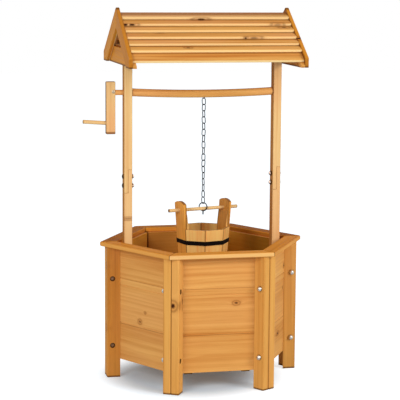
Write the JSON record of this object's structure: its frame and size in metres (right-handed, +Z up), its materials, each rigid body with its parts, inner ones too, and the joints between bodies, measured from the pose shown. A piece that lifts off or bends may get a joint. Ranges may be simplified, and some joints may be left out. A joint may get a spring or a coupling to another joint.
{
  "type": "wishing well planter",
  "caption": "Six-sided wooden planter in the form of a wishing well, with a slatted gable roof on posts and a crank that winds up a bucket on a chain.",
  "frame": {"origin": "on the ground, under the middle of the whole part's bounding box", "axes": "+Z up; +X along the ridge and the axle, with the crank at -X; -Y towards the front, a flat side of the planter"},
  "size_m": [0.6884, 0.551, 1.13],
  "materials": {
    "pine": "satin stain",
    "pale_pine": "satin stain",
    "steel": "zinc plated",
    "black_band": "matt"
  },
  "bodies": {
    "frame": {"back_left_leg_left": "pine", "back_left_leg_right": "pine", "back_left_rim": "pine", "back_left_wall": "pine", "back_leg_left": "pine", "back_leg_right": "pine", "back_right_leg_left": "pine", "back_right_leg_right": "pine", "back_right_rim": "pine", "back_right_wall": "pine", "back_rim": "pine", "back_slat_1": "pine", "back_slat_2": "pine", "back_slat_3": "pine", "back_slat_4": "pine", "back_slat_5": "pine", "back_slat_6": "pine", "back_slat_7": "pine", "back_wall": "pine", "floor": "pine", "front_left_leg_left": "pine", "front_left_leg_right": "pine", "front_left_rim": "pine", "front_left_wall": "pine", "front_leg_left": "pine", "front_leg_right": "pine", "front_right_leg_left": "pine", "front_right_leg_right": "pine", "front_right_rim": "pine", "front_right_wall": "pine", "front_rim": "pine", "front_slat_1": "pine", "front_slat_2": "pine", "front_slat_3": "pine", "front_slat_4": "pine", "front_slat_5": "pine", "front_slat_6": "pine", "front_slat_7": "pine", "front_wall": "pine", "left_barge_back": "pine", "left_barge_front": "pine", "left_gable_frame": "pine", "left_post_lower": "pale_pine", "left_post_upper": "pale_pine", "right_barge_back": "pine", "right_barge_front": "pine", "right_gable_frame": "pine", "right_post_lower": "pale_pine", "right_post_upper": "pale_pine"},
    "windlass": {"axle": "pale_pine", "crank_arm": "pale_pine", "crank_handle": "pale_pine", "crank_screw": "steel", "chain_staple": "steel"},
    "lift": {"chain": "steel", "hook_ring": "steel"},
    "bucket": {"bucket_base": "pale_pine", "bucket_cross_bar": "pale_pine", "bucket_hoop": "black_band", "bucket_staves": "pale_pine"}
  },
  "joints": [
    {"name": "windlass_turn", "type": "hinge", "parent": "frame", "child": "windlass", "pos_m": [0.02612, 0, 0.8748], "axis": [1, 0, 0], "range_deg": [0, 1260]},
    {"name": "bucket_lift", "type": "slide", "parent": "frame", "child": "lift", "axis": [0, 0, 1], "range_m": [0, 0.308], "deforming": ["chain"]},
    {"name": "bucket_tilt", "type": "hinge", "parent": "lift", "child": "bucket", "pos_m": [0.03012, 0, 0.51381], "axis": [0.9677, 0.2521, 0], "range_deg": [-50, 50]}
  ],
  "couplings": [
    {"joint": "bucket_lift", "follows": "windlass_turn", "m_per_rad": 0.014}
  ]
}
